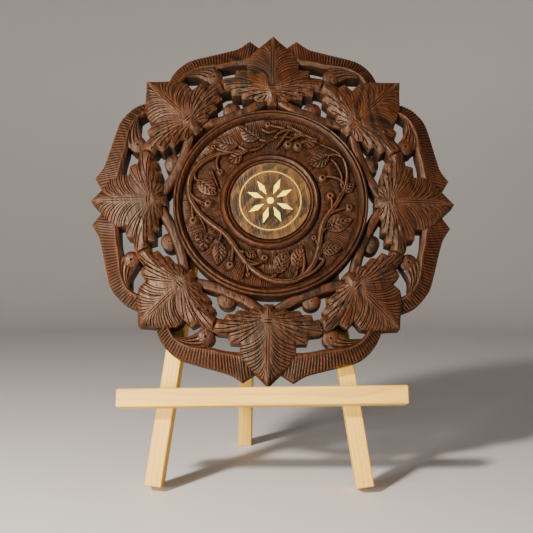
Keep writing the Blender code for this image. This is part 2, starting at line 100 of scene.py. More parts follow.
# The border: one of its eight bays, from a leaf's axis to the next leaf.
BORDER_OUT = [
    (137, 3), (142.5, 11), (148.6, 20.5), (142.6, 30.5), (138.6, 44), (135, 58),
    (130.8, 72), (125, 80.5), (118, 86.5), (109, 90.5), (101, 92.5),
]
BORDER_IN = [
    (125.5, 4), (125.5, 12), (125.5, 22), (124.3, 35), (122.2, 44), (121.4, 52),
    (120.4, 60), (117.5, 68), (113.5, 74.5), (107, 79), (99, 82),
]
OGEE = 2  # the outline's sharp point, counted from the axis leaf
BORDER_LOW, OGEE_RISE, BORDER_RIDGE, BORDER_INNER, RIDGE_AT = 13.8, 2.2, 19.2, 17.6, 0.84
FLUTE_COLUMNS, FLUTE_DEEP = 6, 1.5
BAY_COLUMNS, OUTER_ROWS, INNER_ROWS = 250, 9, 2

# The curl inside each bay with its knob, the stem ring between the leaves, and its buds.
CURL_INNER = [(113.2, 77), (113.4, 71), (113.4, 64.5), (110.2, 58), (106.6, 51.5)]
CURL_OUTER = [(114.8, 76.5), (119.6, 68.5), (122.4, 60), (123, 51), (118, 45.3)]
CURL_HIGH, CURL_CROWN, CURL_CUT = 17.2, 1.6, 0.8
CURL_STEPS, CURL_COLUMNS, CURL_LINES = 30, 13, (3, 6, 9)
KNOB_AT, KNOB_R, KNOB_WALL, KNOB_TOP, KNOB_EYE = (113.3, 50.3), 7.2, 17.0, 18.9, 1.1
STEM_R, STEM_FLARE, STEM_SPAN, STEM_END = 83.8, 6.0, radians(16.4), radians(19.5)
STEM_W, STEM_SIDE, STEM_TOP = 9.2, 15.6, 19.0
BUD_AT, BUD_R, BUD_WALL, BUD_TOP, BUD_EYE = 90.3, 6.8, 15.0, 17.2, 0.5
BUD_WIDER = 1.15
KNOB_STEPS = 26

# The turned disc: radius and height of each corner of its section.
GROUND, DISC_MIDDLE = 20.8, 23.2
DISC = [
    (33, 23.2), (33.5, 21.8), (34.4, 22.6), (35.3, 23.2), (35.9, 22.4), (36.7, 23.9),
    (38.4, 24.8), (40.2, 23.6), (41.8, GROUND), (72.9, GROUND), (74.6, 23.2), (76.6, 25),
    (77.8, 24.2), (78.3, 23.1), (79.4, 23.9), (80.6, 23), (81, 21.2),
]
DISC_STEPS = 200
HATCH_IN, HATCH_OUT, HATCH_STEPS, HATCH_ROWS, HATCH_DEEP = 41.6, 73.1, 500, 11, 0.72

# The floral band, in degrees from the right and millimetres from the middle: the vine's crests and
# troughs; each leaf's half length, half width and turn; each berry's size; each sprig's half width.
VINE = [
    (88, 54), (105, 47), (164, 69.5), (222, 46.5), (287, 70), (337, 47.8), (394, 71), (412, 65),
]
VINE_HALF, VINE_STEP = 2.6, 2.2
BAND_LEAVES = [
    (107, 63, 9.6, 5.4, 39), (126, 63, 9, 5.2, 42), (128.5, 48.5, 6.5, 3.8, 80),
    (168.5, 54.5, 9.8, 5.2, 153), (227, 61.5, 9.5, 4.4, 43), (252, 48.5, 5, 2.6, 80),
    (282, 53.5, 10, 4.8, 143), (297, 54, 10, 4.4, 142), (320.5, 64.5, 8, 4.6, 45),
    (341, 60, 10.5, 5.6, 39), (10, 66, 5.5, 3.2, 28), (42.5, 54, 9.2, 4.6, 159),
    (57, 61.5, 6, 3.6, -28),
]
BERRIES = [
    (92.5, 67.8, 3), (136, 67.5, 2.6), (149.5, 49, 3.1), (183, 51.5, 4), (195.5, 65.5, 4.3),
    (240, 63.5, 3.6), (254.8, 65, 2.2), (265.5, 49, 3.3), (301.5, 50, 2.6), (319, 48, 2.6),
    (355.5, 65.5, 3.6), (5.5, 49.8, 3.6), (25.5, 48, 3.9), (65, 53.5, 4), (74, 52, 3.7),
    (70, 63, 2.2), (86, 57, 1.6), (77.5, 68, 1.6),
]
BLOOM_AT, BLOOM_REACH, BLOOM_LONG, BLOOM_WIDE = (212.5, 64.5), 4.4, 4.6, 3.9
BLOOM_TURNS = [2.4, 0.3, 4.7]
LEAF_LONGER, LEAF_WIDER, BERRY_BIGGER = 1.08, 1.3, 1.15
STALK_HALF, STALK_LEAD, LEAF_LEAD = 1.4, 14.0, 8.0
SPRIGS = [
    (1.5, [(75, 69), (77.5, 61), (81, 53), (85, 46)]),
    (1.2, [(84, 64), (87.5, 61.3), (92, 60.2), (96, 62.3), (98, 66)]),
    (0.9, [(150, 58), (156, 52), (162, 47), (166, 44.5)]),
    (0.8, [(176, 66.5), (180, 62), (184, 57), (186.5, 53)]),
    (1.0, [(192, 60.5), (200, 58.5), (208, 59)]),
    (0.8, [(249, 55), (251, 62), (252, 70)]),
    (0.9, [(247, 53), (256, 54), (263, 53.2), (267, 50)]),
    (1.6, [(287, 70), (300, 70), (311, 67), (309, 61), (315, 57), (320, 54)]),
    (1.2, [(8, 62), (14, 60.5), (20, 62.8), (30, 63.2), (38, 62)]),
    (0.8, [(84, 56), (78, 57.5), (71, 58.5)]),
]
RELIEF_WALL, RELIEF_TOP, RIDGE_TOP, RELIEF_FOOT = 1.6, 3.1, 3.2, -1.5
# Half sections over the ground: a berry's by share of its radius, a stalk's by share of its half width.
BERRY_SECTION = [
    (0, 1.7), (0.18, 1.9), (0.3, 2.6), (0.45, 2.7), (0.62, 2.45), (0.8, 1.8), (0.9, 1.1), (1, 0.8),
    (1, RELIEF_FOOT),
]
STALK_SECTION = [(0, 2.0), (0.12, 2.4), (0.45, 2.2), (0.8, 1.3), (1, 0.0)]
STALK_CREST, STALK_WIDER = 2.4, 1.15

# The inlay's pockets. The petals' degrees count clockwise from straight up.
PETAL_AT = [23, 61, 112, 153, 196, 240, 290, 327]
PETAL_IN, PETAL_OUT, PETAL_HALF = 5.8, 20.3, 2.35
RING_R, RING_W, DOT_R = 25.4, 1.0, 2.8
POCKET_LOW, INLAY_GAP, SHARP = 21.2, 0.12, 3.3
CUT_HIGH, CUT_BEHIND, CUT_REACH = 30.0, 20.0, 200.0
RING_STEPS, DOT_STEPS = 72, 16

# The uneven tool work: how far it moves the surface, how high it may stand, and the smooth parts.
WORK_WAVE, WORK_FINE, WORK_TOP = 0.28, 0.14, 24.98
FIELD_R, MOULDING_R, MOULDING_HALF = 31, 37.5, 6
SHARP_ANGLE = 34

# The woods' and metals' colours, in linear light.
WOOD_RED, WOOD_DEEP_RED = (0.032, 0.0066, 0.0013, 1), (0.014, 0.0034, 0.001, 1)
WOOD_STREAK, WOOD_RING = (0.06, 0.0142, 0.0028, 1), (0.003, 0.0011, 0.0007, 1)
# The worn colour lightens the ridges: wear and a painted highlight.
WOOD_PORE, WOOD_WEAR_AND_HIGHLIGHT = (0.008, 0.0035, 0.002, 1), (0.17, 0.08, 0.038, 1)
FIELD_TAN, FIELD_FLAME = (0.088, 0.038, 0.0075, 1), (0.004, 0.0025, 0.001, 1)
FIELD_RING, FIELD_PORE = (0.009, 0.005, 0.002, 1), (0.03, 0.014, 0.006, 1)
# The wall colour is painted shade for the openings' deep walls; the hollow colour is painted shade in the
# hollows, with some real stain.
WALL_PAINTED_SHADE, HOLLOW_SHADE_AND_DIRT = (0.004, 0.0016, 0.001, 1), (0.003, 0.0012, 0.0006, 1)
# The band's ground colour is painted shade on the sunk ground between its raised forms.
BAND_GROUND_SHADE = (0.03, 0.007, 0.0012, 1)
PINE_PALE, PINE_WARM = (0.7, 0.42, 0.05, 1), (0.62, 0.33, 0.035, 1)
PINE_RING, PINE_FIBRE, PINE_STREAK = (0.42, 0.18, 0.025, 1), (0.74, 0.48, 0.09, 1), (0.6, 0.24, 0.07, 1)
PETAL_BRASS, WIRE_BRASS = (1.0, 0.8, 0.07, 1), (0.5, 0.29, 0.035, 1)
FLOOR_GREY = (0.68, 0.65, 0.64, 1)

# In metres: how far from the board's middle the finish changes, and at what heights over its back.
FIELD_EDGE, BAND_INNER, BAND_OUTER = (0.0325, 0.0335), (0.0405, 0.042), (0.0745, 0.073)
# The deep-wall and ground-face heights set where painted shade lies on the openings' walls and on the
# band's sunk ground.
FRONT_FACE, DEEP_WALL, GROUND_FACE = (0.015, 0.02), (0.022, 0.012), (0.0223, 0.0212)

# The studio: each light's place, size, power and colour, then what they point at.
LIGHTS = {
    "key": ((-0.65, -1.03, 0.77), 0.12, 35, (1, 0.93, 0.84)),
    "left_sheen": ((-0.5, -0.8, 0.12), 0.25, 15, (1, 0.98, 0.9)),
    "front_fill": ((0.5, -1.6, 0.7), 1.2, 1.2, (0.95, 0.97, 1)),
}
LIT_POINT = (0, 0, 0.2)
WORLD_COLOUR, WORLD_STRENGTH = (0.85, 0.84, 0.86, 1), 0.07

# The photograph's view. Its focal length is in pixels of a frame this wide.
FOCAL_PX, FRAME_PX, SENSOR = 850.0, 533.0, 36.0
VIEW_YAW = radians(1.25)
VIEWED_W = 17.0
CENTRE_FROM_CAMERA = Vector((3.3, 708.0, 53.1)) * MM


def smooth(points, n):
    """Catmull-Rom line through the points, n steps to each span."""
    p = np.array(points, float)
    p = np.vstack([2 * p[0] - p[1], p, 2 * p[-1] - p[-2]])
    t = np.arange(n)[:, None] / n
    out = []
    for i in range(1, len(p) - 2):
        a, b, c, d = p[i - 1 : i + 3]
        bend = (2 * a - 5 * b + 4 * c - d) * t**2 + (3 * b - a - 3 * c + d) * t**3
        out.append(b + 0.5 * ((c - a) * t + bend))
    return np.vstack(out + [p[-2][None]])


def resample(points, count):
    """The same line with its points spread evenly."""
    p = np.array(points, float)
    run = np.r_[0, np.cumsum(np.hypot(*np.diff(p, axis=0).T))]
    at = np.linspace(0, run[-1], count)
    return np.c_[np.interp(at, run, p[:, 0]), np.interp(at, run, p[:, 1])]


def segment_distance(points, line, closed=False):
    """Each point's distance to the nearest part of a line."""
    a = np.array(line, float)
    b = np.roll(a, -1, axis=0)
    if not closed:
        a, b = a[:-1], b[:-1]
    best = np.full(len(points), 1e9)
    for start, end in zip(a, b):
        along = end - start
        t = np.clip((points - start) @ along / max(along @ along, 1e-12), 0, 1)
        best = np.minimum(best, np.hypot(*(points - start - t[:, None] * along).T))
    return best


def inside(points, outline):
    """True for each point inside a closed outline."""
    x, y = points.T
    hit = np.zeros(len(points), bool)
    for (ax, ay), (bx, by) in zip(outline, np.roll(outline, -1, axis=0)):
        crosses = (ay > y) != (by > y)
        with np.errstate(divide="ignore", invalid="ignore"):
            hit ^= crosses & (x < (bx - ax) * (y - ay) / (by - ay) + ax)
    return hit


def mesh_from(name, verts, faces):
    """A closed mesh whose faces point outwards, with points that meet made one."""
    bm = bmesh.new()
    made = [bm.verts.new(v) for v in verts]
    for face in faces:
        bm.faces.new([made[i] for i in face])
    bmesh.ops.remove_doubles(bm, verts=bm.verts, dist=1e-4)
    bmesh.ops.recalc_face_normals(bm, faces=bm.faces)
    if bm.calc_volume(signed=True) < 0:
        bmesh.ops.reverse_faces(bm, faces=bm.faces)
    mesh = bpy.data.meshes.new(name)
    bm.to_mesh(mesh)
    bm.free()
    return mesh


def grid_solid(name, top, foot):
    """A solid under a grid of points (rows, columns, xyz), with walls down to one level."""
    rows, columns = top.shape[:2]
    index = np.arange(rows * columns).reshape(rows, columns)
    quads = np.stack([index[:-1, :-1], index[1:, :-1], index[1:, 1:], index[:-1, 1:]], -1)
    faces = quads.reshape(-1, 4).tolist()
    rim = np.r_[index[0], index[1:, -1], index[-1, -2::-1], index[-2:0:-1, 0]]
    verts = top.reshape(-1, 3)
    below = verts[rim] * (1, 1, 0) + (0, 0, foot)
    lower = np.arange(len(rim)) + rows * columns
    for a, b, c, d in zip(rim, np.roll(rim, -1), np.roll(lower, -1), lower):
        faces.append([a, b, c, d])
    faces.append(lower[::-1].tolist())
    return mesh_from(name, np.vstack([verts, below]).tolist(), faces)


def turned(name, profile, steps, closed=False, rise=None):
    """A profile of (radius, height) turned about the upright axis. rise lifts it, by row and column."""
    profile = np.array(profile, float)
    angle = np.arange(steps) * 2 * pi / steps
    r, z = profile[:, :1], profile[:, 1:] + np.zeros(steps)
    if rise is not None:
        z = z + rise
    ring = np.stack([r * np.cos(angle), r * np.sin(angle), z], -1)
    index = np.arange(len(profile) * steps).reshape(len(profile), steps)
    faces = []
    rows = len(profile) if closed else len(profile) - 1
    for i in range(rows):
        a, b = index[i], index[(i + 1) % len(profile)]
        if profile[i, 0] == 0:
            faces += np.stack([np.full(steps, a[0]), b, np.roll(b, -1)], -1).tolist()
        elif profile[(i + 1) % len(profile), 0] == 0:
            faces += np.stack([a, np.full(steps, b[0]), np.roll(a, -1)], -1).tolist()
        else:
            faces += np.stack([a, b, np.roll(b, -1), np.roll(a, -1)], -1).tolist()
    return mesh_from(name, ring.reshape(-1, 3).tolist(), faces)


def relief(name, outline, surface, grooves, spacing):
    """A carved solid with this outline and cut grooves: each its line, half widths and depths."""
    outline = np.array(outline, float)
    inputs, edges, cuts = [outline], [], [np.zeros(len(outline))]
    at = len(outline)
    for line, half, deep in grooves:
        along = np.gradient(line, axis=0)
        side = np.c_[-along[:, 1], along[:, 0]] / np.hypot(*along.T)[:, None]
        for way, cut in ((1, 0), (0, deep), (-1, 0)):
            inputs.append(line + side * (way * half)[:, None])
            cuts.append(np.zeros(len(line)) + cut)
            edges += [(i, i + 1) for i in range(at, at + len(line) - 1)]
            at += len(line)
    low, high = outline.min(axis=0), outline.max(axis=0)
    xs = np.arange(low[0], high[0], spacing)
    ys = np.arange(low[1], high[1], spacing * 0.87)
    fill = np.array([(x + spacing / 2 * (j % 2), y) for j, y in enumerate(ys) for x in xs])
    fill = fill[inside(fill, outline) & (segment_distance(fill, outline, True) > spacing * 0.6)]
    for line, _, _ in grooves:
        fill = fill[segment_distance(fill, line) > GROOVE_HALF + spacing * 0.3]
    inputs.append(fill)
    cuts.append(np.zeros(len(fill)))
    flat, cut = np.vstack(inputs), np.concatenate(cuts)
    border = list(range(len(outline)))
    found = delaunay_2d_cdt([Vector(p) for p in flat], edges, [border], 1, 1e-4)
    verts, faces, origins = found[0], found[2], found[3]
    flat = np.array([v[:] for v in verts])
    deep = np.array([max(cut[o]) if o else GROOVE_DEEP * 0.7 for o in origins])
    top = np.c_[flat, surface(flat) - deep]
    count = len(top)
    ends = dict.fromkeys(pair for face in faces for pair in zip(face, face[1:] + face[:1]))
    rim = [(a, b) for a, b in ends if (b, a) not in ends]
    following = dict(rim)
    start = rim[0][0]
    loop = [start]
    while following[loop[-1]] != start:
        loop.append(following[loop[-1]])
    lower = {v: count + i for i, v in enumerate(loop)}
    faces = [list(f) for f in faces]
    faces += [[b, a, lower[a], lower[b]] for a, b in rim]
    faces.append([lower[v] for v in loop[::-1]])
    below = top[loop] * (1, 1, 0) + (0, 0, -SUNK)
    return mesh_from(name, np.vstack([top, below]).tolist(), faces)


def rotated(mesh, angle, flip=False):
    """Turns a mesh about the board's centre, mirrored first where flip is set."""
    if flip:
        mesh.transform(Matrix.Scale(-1, 4, (0, 1, 0)))
        mesh.flip_normals()
    mesh.transform(Matrix.Rotation(angle, 4, "Z"))
    return mesh


def bezier(a, b, c, count):
    """A line from a to c, drawn towards b."""
    t = np.linspace(0, 1, count)[:, None]
    return (1 - t) ** 2 * np.array(a) + 2 * t * (1 - t) * np.array(b) + t**2 * np.array(c)


def groove(line, width=1.0, deep=1.0, open_end=True):
    """A V cut that starts as a point and, with open_end, is still wide where it stops."""
    t = np.linspace(0, 1, len(line))
    taper = np.minimum(1, 0.12 + 2.6 * t)
    if not open_end:
        taper = np.minimum(taper, 0.12 + 2.6 * (1 - t))
    return line, GROOVE_HALF * width * taper, GROOVE_DEEP * deep * taper


def leaf_grooves(outline, tip, rng):
    """The fan of veins: down each side of the tip from the midrib, and bowed along each side lobe."""
    found = []
    for y in (MIDRIB_SIDE, -MIDRIB_SIDE):
        found.append(groove(np.array([(x, y) for x in np.linspace(105, tip - 7, 12)]), 0.9, 1.1, False))
    found.append(groove(np.array([(x, 0) for x in np.linspace(98, 90, 4)]), 1.0, 1.0, False))
    for x in BASE_CUTS:
        found.append(groove(np.array([(x, y) for y in np.linspace(-4.2, 4.2, 6)]), 1.1, 1.5, False))
    edge = np.array([p for p in LEAF_EDGE if p[0] >= LEAF_NECK])[::-1]
    side = resample(LEAF_EDGE[LOBE_EDGE], 200)
    for sign in (1, -1):
        for i in range(TIP_GROOVES):
            x = np.interp(i + 0.5 * rng.random(), (0, TIP_GROOVES), (VEIN_ENDS[0], tip - 2.5))
            y = np.interp(x, edge[:, 0], edge[:, 1]) - 0.9
            start = np.interp(x, VEIN_ENDS + (tip - 2.5,), VEIN_STARTS + (tip - 9,))
            start += rng.uniform(-0.5, 0.5)
            line = bezier((start, 2.0), (x - 1.2, 2 + 0.3 * y), (x, y), 9)
            found.append(groove(line * (1, sign), 0.9 + 0.3 * rng.random(), 0.8 + 0.4 * rng.random()))
        for i in range(LOBE_GROOVES):
            q = (i + 0.5 + rng.uniform(-0.2, 0.2)) / LOBE_GROOVES
            end = side[int(q * 199)]
            start = np.array((np.interp(q, (0, 1), LOBE_VEIN_STARTS), 2.7))
            # Beside the two cuts across the leaf's base a vein starts further out.
            if BASE_CUTS[0] - 1.6 < start[0] < BASE_CUTS[1] + 1.8:
                start[1] = 5.0
            if i % 2:
                start = start + (end - start) * 0.3
            bow = np.interp(q, (0, 0.5, 1), (2.6, 6.5, 1.5)) * (0.6 if i % 2 else 1)
            line = bezier(start, (start + end) / 2 + (bow, 0), end, 10)
            room = segment_distance(line, outline, True) > VEIN_MARGIN
            keep = len(line) if room.all() else int(np.argmin(room))
            if keep >= 4:
                line = resample(line[:keep], 8)
                found.append(groove(line * (1, sign), 0.9 + 0.3 * rng.random(), 0.8 + 0.4 * rng.random()))
    return found


def make_leaf(lift, tip_shift, rng):
    """One leaf along the first axis: crowned between spine and edge, its tip and lobes falling."""
    half = np.array(LEAF_EDGE, float)
    half[:, 0] += tip_shift * np.clip((half[:, 0] - SHOULDER_R) / (TIP_R - SHOULDER_R), 0, 1)
    corners = np.vstack([half, (half * (1, -1))[:0:-1]])
    outline = []
    for a, b in zip(corners, np.roll(corners, -1, axis=0)):
        steps = max(1, round(hypot(*(b - a)) / 1.6))
        outline += [a + (b - a) * i / steps for i in range(steps)]
    outline = np.array(outline)
    tip = TIP_R + tip_shift

    def surface(p):
        spine = np.minimum(
            segment_distance(p, [(93, 0), (tip - 3, 0)]),
            segment_distance(p, [(104, -42), (105, -18), (103, 0), (105, 18), (104, 42)]),
        )
        edge = segment_distance(p, corners, True)
        h = LEAF_HIGH + lift - CROWN * (spine / (edge + spine + 1e-6)) ** 1.6
        h -= TIP_DROP * np.clip((p[:, 0] - FALL_OUT) / (TIP_R - FALL_OUT), 0, 2) ** 1.4
        h -= LOBE_DROP * (p[:, 1] / LOBE_END) ** 2
        h -= BASE_DROP * np.clip((FALL_IN - p[:, 0]) / (FALL_IN - LEAF_EDGE[-1][0]), 0, 2)
        return h - EDGE_EASE * (1 - np.minimum(edge / EDGE_REACH, 1)) ** 1.5

    return relief("leaf", outline, surface, leaf_grooves(corners, tip, rng), LEAF_MESH)


def make_bay(rng):
    """One bay of the border: a roof section whose outer slope is cut with slanted flutes."""
    sharp = np.vstack([smooth(BORDER_OUT[: OGEE + 1], 8)[:-1], smooth(BORDER_OUT[OGEE:], 8)])
    out, inn = resample(sharp, BAY_COLUMNS), resample(smooth(BORDER_IN, 8), BAY_COLUMNS)
    run = np.r_[0, np.cumsum(np.hypot(*np.diff(out, axis=0).T))]
    corner = run[np.argmin(np.hypot(*(out - BORDER_OUT[OGEE]).T))]
    shoulder = OGEE_RISE * np.clip(1 - abs(run - corner) / 12, 0, 1)
    outer, inner = np.linspace(0, RIDGE_AT, OUTER_ROWS), np.linspace(RIDGE_AT, 1, INNER_ROWS + 1)[1:]
    s = np.r_[outer, inner][:, None]
    up = np.minimum(s / RIDGE_AT, 1)
    down = np.maximum(0, (s - RIDGE_AT) / (1 - RIDGE_AT))
    # Each row is one column on from the last, so that every flute's bottom keeps to the points.
    phase = (np.arange(BAY_COLUMNS) - np.arange(len(s))[:, None]) / FLUTE_COLUMNS
    uneven = 0.75 + 0.25 * np.sin(run / 11 + rng.uniform(0, 6))
    flute = FLUTE_DEEP * uneven * (abs(np.sin(pi * phase)) ** 0.7 - 1) * np.clip(3 * (1 - up), 0, 1)
    z = BORDER_LOW + shoulder * (1 - up) + (BORDER_RIDGE - BORDER_LOW) * up**0.85
    z = z - (BORDER_RIDGE - BORDER_INNER) * down**1.2 + flute
    z[0] -= 0.5
    z[-1] -= 0.4
    top = out[None] * (1 - s[..., None]) + inn[None] * s[..., None]
    return grid_solid("bay", np.dstack([top, z]), -SUNK)


def make_curl():
    """The curled strip inside a bay, from the border to its knob, with lines cut along it."""
    inner, outer = (resample(smooth(line, 6), CURL_STEPS) for line in (CURL_INNER, CURL_OUTER))
    s = np.linspace(0, 1, CURL_COLUMNS)[:, None]
    flat = inner[None] * (1 - s[..., None]) + outer[None] * s[..., None]
    lines = np.where(np.isin(np.arange(CURL_COLUMNS), CURL_LINES), CURL_CUT, 0)[:, None]
    z = CURL_HIGH + CURL_CROWN * np.sin(pi * s) ** 0.6 - lines + np.zeros(CURL_STEPS)
    return grid_solid("curl", np.dstack([flat, z]), -SUNK)


def knob(x, y, radius, wall, top, eye):
    """A round carved knob with a drilled eye at its crown."""
    rise = top - wall
    profile = [(0, top - 1.7), (eye * 0.55, top - 1.6), (eye * 0.85, top - 0.35), (eye * 1.15, top)]
    for a in np.linspace(0.3, 1, 8):
        edge = eye * 1.15 + (radius - eye * 1.15) * sin(a * pi / 2) ** 1.1
        profile.append((edge, wall + rise * cos(a * pi / 2) ** 0.8))
    profile += [(radius, wall - 1), (radius * 0.98, -SUNK), (0, -SUNK)]
    mesh = turned("knob", profile, KNOB_STEPS)
    mesh.transform(Matrix.Translation((x, y, 0)))
    return mesh


def ridge(name, run, half, foot, section, radii, twist=0.0, pitch=3.0):
    """A raised strip along a line. section gives its height for each place across, from -1 to 1."""
    run = np.array(run, float)
    along = np.gradient(run, axis=0)
    side = np.c_[-along[:, 1], along[:, 0]] / np.hypot(*along.T)[:, None]
    length = np.r_[0, np.cumsum(np.hypot(*np.diff(run, axis=0).T))]
    rows = []
    for across, height in section:
        flat = run + side * (across * half * radii)[:, None]
        phase = (length + across * half * 1.2) / pitch
        z = height * radii**0.5 - twist * (1 - abs(np.sin(pi * phase)) ** 0.7) * (1 - across**4)
        rows.append(np.c_[flat, z])
    return grid_solid(name, np.array(rows), foot)


def make_stem():
    """One arch of the stem ring, with the chisel's slanted marks across it."""
    bend = np.linspace(-STEM_END, STEM_END, 56)
    r = STEM_R + STEM_FLARE * abs(bend / STEM_SPAN) ** 2.4
    across = np.linspace(-1, 1, 9)
    section = [(a, STEM_TOP - (STEM_TOP - STEM_SIDE) * abs(a) ** 5) for a in across]
    line = np.c_[r * np.cos(bend), r * np.sin(bend)]
    return ridge("stem", line, STEM_W / 2, -SUNK, section, np.ones(len(line)), 0.45, 3.4)


def polar(degrees, radius):
    """The point at this angle and distance from the board's middle."""
    a = radians(degrees)
    return radius * cos(a), radius * sin(a)


def make_band_leaf(x, y, long, wide, turn, ribs):
    """A pointed leaf of the floral band: sunk midrib and slanting ribs."""
    s, t = np.meshgrid(np.linspace(-1, 1, 36), np.linspace(-1, 1, 11), indexing="ij")
    half = wide * (1 - np.abs(s) ** 1.7) ** 0.8 * (1 - 0.16 * s) + 0.12
    bend = 0.12 * long * (1 - s**2)
    z = RELIEF_WALL + (RELIEF_TOP - RELIEF_WALL) * (1 - t**2) ** 0.7
    phase = ribs * (s - 0.55 * abs(t)) / 2
    strong = np.clip((1 - abs(t)) * 3, 0, 1) * np.clip((1 - s**2) * 2, 0, 1)
    z -= 1.2 * (1 - abs(np.sin(pi * phase)) ** 0.8) * strong
    z -= 0.6 * np.exp(-((t / 0.1) ** 2)) * np.clip((1 - s**2) * 3, 0, 1)
    top = np.dstack([s * long, t * half + bend, GROUND + z])
    mesh = grid_solid("band_leaf", top, GROUND + RELIEF_FOOT)
    mesh.transform(Matrix.Translation((x, y, 0)) @ Matrix.Rotation(turn, 4, "Z"))
    return mesh


def make_berry(x, y, size):
    """A round berry with a dimple, in a thin cut collar."""
    profile = [(r * size, GROUND + z * min(1, size / 3) ** (z > 0)) for r, z in BERRY_SECTION]
    mesh = turned("berry", profile + [(0, GROUND + RELIEF_FOOT)], 20)
    mesh.transform(Matrix.Translation((x, y, 0)))
    return mesh


def make_sprig(half, run):
    """A raised stalk of the floral band that tapers at both ends, with a line cut along it."""
    t = np.linspace(0, 1, len(run))
    radii = 0.25 + 0.75 * np.minimum(1, 5 * np.minimum(t, 1 - t))
    whole = [(-a, h) for a, h in STALK_SECTION[:0:-1]] + STALK_SECTION
    section = [(a * STALK_WIDER, h * RIDGE_TOP / STALK_CREST) for a, h in whole]
    mesh = ridge("sprig", run, half, RELIEF_FOOT, section, radii)
    mesh.transform(Matrix.Translation((0, 0, GROUND)))
    return mesh


def vine_line(step):
    """The vine's line: a smooth wave from each crest to the next trough."""
    run = []
    for (a, r), (b, s) in zip(VINE, VINE[1:]):
        steps = max(2, round((b - a) / step))
        for i in range(steps):
            t = i / steps
            run.append(polar(a + (b - a) * t, r + (s - r) * (1 - cos(pi * t)) / 2))
    return run + [polar(*VINE[-1])]


def vine_radius(degrees):
    """How far from the middle the vine is at an angle, for any turn of it."""
    degrees = degrees + 360 if degrees < VINE[0][0] else degrees
    i, t = divmod(np.interp(degrees, [a for a, _ in VINE], range(len(VINE))), 1)
    low, high = VINE[int(i)][1], VINE[min(int(i) + 1, len(VINE) - 1)][1]
    return low + (high - low) * (1 - cos(pi * t)) / 2


def stalks():
    """The curved stalks, as polar points, that carry each berry and leaf off the vine."""
    ends = [(degrees, radius, STALK_LEAD) for degrees, radius, _ in BERRIES]
    for degrees, radius, long, _, turn in BAND_LEAVES:
        at = Vector(polar(degrees, radius)) - long * Vector(polar(degrees + turn, 1))
        angle = np.degrees(np.arctan2(at.y, at.x)) % 360
        ends.append((angle, at.length, LEAF_LEAD))
    for degrees, radius, lead in ends:
        base = vine_radius(degrees - lead)
        yield [
            (degrees - lead, base),
            (degrees - 0.55 * lead, base + 0.15 * (radius - base)),
            (degrees - 0.15 * lead, base + 0.6 * (radius - base)),
            (degrees, radius),
        ]


def make_disc():
    """The turned disc, with its mouldings read finely from the profile."""
    profile = np.array(DISC, float)
    fine = []
    for (a, h), (b, k) in zip(profile, profile[1:]):
        steps = 2 if hypot(b - a, k - h) < 2.5 else 3
        fine += [(a + (b - a) * i / steps, h + (k - h) * i / steps) for i in range(steps)]
    fine.append(tuple(profile[-1]))
    middle = [(r, DISC_MIDDLE) for r in (0, 10, 20, 28)]
    return turned("disc", middle + fine + [(DISC[-1][0], -SUNK), (0, -SUNK)], DISC_STEPS)


def make_hatching(rng):
    """The band's ground, combed with short strokes that point to the middle."""
    r = np.linspace(HATCH_IN, HATCH_OUT, HATCH_ROWS)
    strength = rng.uniform(0.35, 1, (HATCH_ROWS, HATCH_STEPS))
    stroke = np.where(np.arange(HATCH_STEPS) % 2, 1.0, -1.0)[None] * strength
    shift = rng.integers(0, 2, HATCH_ROWS)
    rows = np.array([np.roll(row, s) for row, s in zip(stroke, shift)]) * HATCH_DEEP
    rows += rng.uniform(-0.12, 0.12, rows.shape)
    rows[[0, -1]] = -0.4
    profile = [(a, GROUND + 0.12) for a in r] + [(HATCH_OUT, GROUND - 2), (HATCH_IN, GROUND - 2)]
    return turned("hatching", profile, HATCH_STEPS, True, np.vstack([rows, np.zeros((2, HATCH_STEPS))]))


def carved_forms():
    """Every form that stands out of the disc, each a closed mesh in the board's frame."""
    rng = np.random.default_rng(7)
    for k in range(LEAVES):
        axis, between = k * STEP, (k + 0.5) * STEP
        yield rotated(make_leaf(CORNER_LIFT * (k % 2), TIP_SHIFT[k], rng), axis)
        yield rotated(make_stem(), between)
        bud = knob(BUD_AT, 0, BUD_R, BUD_WALL, BUD_TOP, BUD_EYE)
        bud.transform(Matrix.Scale(BUD_WIDER, 4, (0, 1, 0)))
        yield rotated(bud, between)
    for side in range(4):
        for flip in (False, True):
            turn = side * pi / 2
            yield rotated(make_bay(rng), turn, flip)
            yield rotated(make_curl(), turn, flip)
            yield rotated(knob(*KNOB_AT, KNOB_R, KNOB_WALL, KNOB_TOP, KNOB_EYE), turn, flip)
    yield make_hatching(rng)
    for degrees, radius, long, wide, turn in BAND_LEAVES:
        x, y = polar(degrees, radius)
        long, wide, ribs = LEAF_LONGER * long, LEAF_WIDER * wide, 6 if long > 7 else 4
        yield make_band_leaf(x, y, long, wide, radians(degrees + turn), ribs)
    for a in BLOOM_TURNS:
        x, y = polar(*BLOOM_AT)
        x, y = x + BLOOM_REACH * cos(a), y + BLOOM_REACH * sin(a)
        yield make_band_leaf(x, y, BLOOM_LONG, BLOOM_WIDE, a, 2)
    for degrees, radius, size in BERRIES:
        yield make_berry(*polar(degrees, radius), BERRY_BIGGER * size)
    yield make_sprig(VINE_HALF, vine_line(VINE_STEP))
    for line in stalks():
        yield make_sprig(STALK_HALF, resample(smooth([polar(*p) for p in line], 5), 13))
    for half, line in SPRIGS:
        yield make_sprig(half, resample(smooth([polar(*p) for p in line], 6), 26))


def plate(name, outline, low, high):
    """A flat-topped solid between two levels."""
    count = len(outline)
    verts = [(x, y, z) for z in (low, high) for x, y in outline]
    walls = [(i, (i + 1) % count, (i + 1) % count + count, i + count) for i in range(count)]
    caps = [list(range(count))[::-1], list(range(count, 2 * count))]
    return mesh_from(name, verts, walls + caps)


